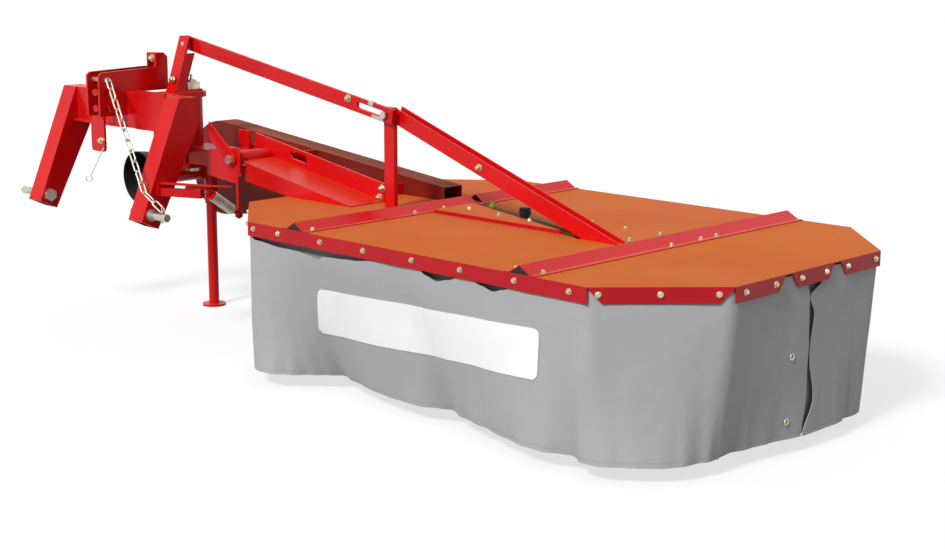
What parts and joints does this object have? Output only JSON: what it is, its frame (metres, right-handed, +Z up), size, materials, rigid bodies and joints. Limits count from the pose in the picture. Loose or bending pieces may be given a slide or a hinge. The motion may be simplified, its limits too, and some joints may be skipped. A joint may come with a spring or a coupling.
{
  "type": "drum mower",
  "caption": "Rear-mounted drum mower on a three-point hitch frame: sheet cover with fabric skirt, belt-driven drums with knives, tilting boom, stay bar and parking stand.",
  "frame": {"origin": "on the floor, below the middle of the whole machine's box", "axes": "+X from the hitch frame along the cutter to its outer end, +Y to the rear, away from the tractor, +Z up"},
  "size_m": [3.255, 1.277, 1.0689],
  "materials": {
    "red_paint": "gloss enamel over welded plate",
    "cover_paint": "gloss enamel over sheet",
    "zinc": "zinc plated",
    "steel": "bare worn steel",
    "skirt_fabric": "coated woven fabric",
    "black_plastic": "moulded"
  },
  "bodies": {
    "hitch": {"hitch_leg_inner": "red_paint", "hitch_leg_outer": "red_paint", "hitch_beam": "red_paint", "top_link_cheeks": "red_paint", "cheek_lug": "red_paint", "breakaway_jaw": "red_paint", "swing_bracket": "red_paint", "lower_pin_inner": "zinc", "lower_pin_outer": "zinc", "hook_pin": "zinc", "check_chain": "zinc", "spring_clip": "zinc"},
    "carrier": {"swing_carrier": "red_paint", "swing_pin": "zinc", "upright": "red_paint", "stay_pivot_bolt": "zinc", "tilt_hinge_pin": "zinc", "breakaway_rod": "red_paint", "breakaway_spring": "zinc", "hinge_brace": "red_paint"},
    "stay": {"stay_bar": "red_paint"},
    "cutter": {"boom": "red_paint", "guard_bracket_inner": "red_paint", "guard_bracket_outer": "red_paint", "belt_guard_front": "red_paint", "belt_guard_rear": "red_paint", "input_bearing_tube": "red_paint", "shaft_bell": "black_plastic", "stand_sleeve": "red_paint", "post": "red_paint", "post_pin": "zinc", "long_strut": "red_paint", "cover_front": "cover_paint", "cover_rear": "cover_paint", "ridge_inner": "red_paint", "ridge_outer": "red_paint", "gear_beam": "red_paint", "skirt_front": "skirt_fabric", "skirt_rear": "skirt_fabric", "centre_plate": "cover_paint"},
    "drive": {"input_shaft": "steel"},
    "drum_inner_rotor": {"drum_inner": "cover_paint", "knife_disc_inner": "steel", "knives_inner": "steel"},
    "drum_outer_rotor": {"drum_outer": "cover_paint", "knife_disc_outer": "steel", "knives_outer": "steel"},
    "skid_inner_dish": {"skid_inner": "steel"},
    "skid_outer_dish": {"skid_outer": "steel"},
    "stand": {"stand_leg": "red_paint"}
  },
  "joints": [
    {"name": "swing", "type": "hinge", "parent": "hitch", "child": "carrier", "pos_m": [-1.0125, -0.1485, 0.7], "axis": [0, 0, 1], "range_deg": [0, 90]},
    {"name": "tilt", "type": "hinge", "parent": "carrier", "child": "cutter", "pos_m": [-0.6575, -0.1385, 0.647], "axis": [0, -1, 0], "range_deg": [0, 20]},
    {"name": "stay_pivot", "type": "hinge", "parent": "carrier", "child": "stay", "pos_m": [-1.0125, -0.1485, 1.04], "axis": [0, -1, 0], "range_deg": [0, 12.68]},
    {"name": "drum_inner_spin", "type": "hinge", "parent": "cutter", "child": "drum_inner_rotor", "pos_m": [0.1675, 0, 0.3], "axis": [0, 0, 1], "continuous": true},
    {"name": "drum_outer_spin", "type": "hinge", "parent": "cutter", "child": "drum_outer_rotor", "pos_m": [1.0875, 0, 0.3], "axis": [0, 0, 1], "continuous": true},
    {"name": "skid_inner_spin", "type": "hinge", "parent": "drum_inner_rotor", "child": "skid_inner_dish", "pos_m": [0.1675, 0, 0.02], "axis": [0, 0, 1], "continuous": true},
    {"name": "skid_outer_spin", "type": "hinge", "parent": "drum_outer_rotor", "child": "skid_outer_dish", "pos_m": [1.0875, 0, 0.02], "axis": [0, 0, 1], "continuous": true},
    {"name": "input_spin", "type": "hinge", "parent": "cutter", "child": "drive", "pos_m": [-1.1775, -0.1385, 0.532], "axis": [0, 1, 0], "continuous": true},
    {"name": "stand_slide", "type": "slide", "parent": "cutter", "child": "stand", "axis": [0, 0, 1], "range_m": [0, 0.25]}
  ],
  "couplings": [
    {"joint": "stay_pivot", "follows": "tilt", "ratio": 0.6334},
    {"joint": "drum_outer_spin", "follows": "drum_inner_spin", "ratio": -1},
    {"joint": "input_spin", "follows": "drum_inner_spin", "ratio": 0.2857}
  ]
}
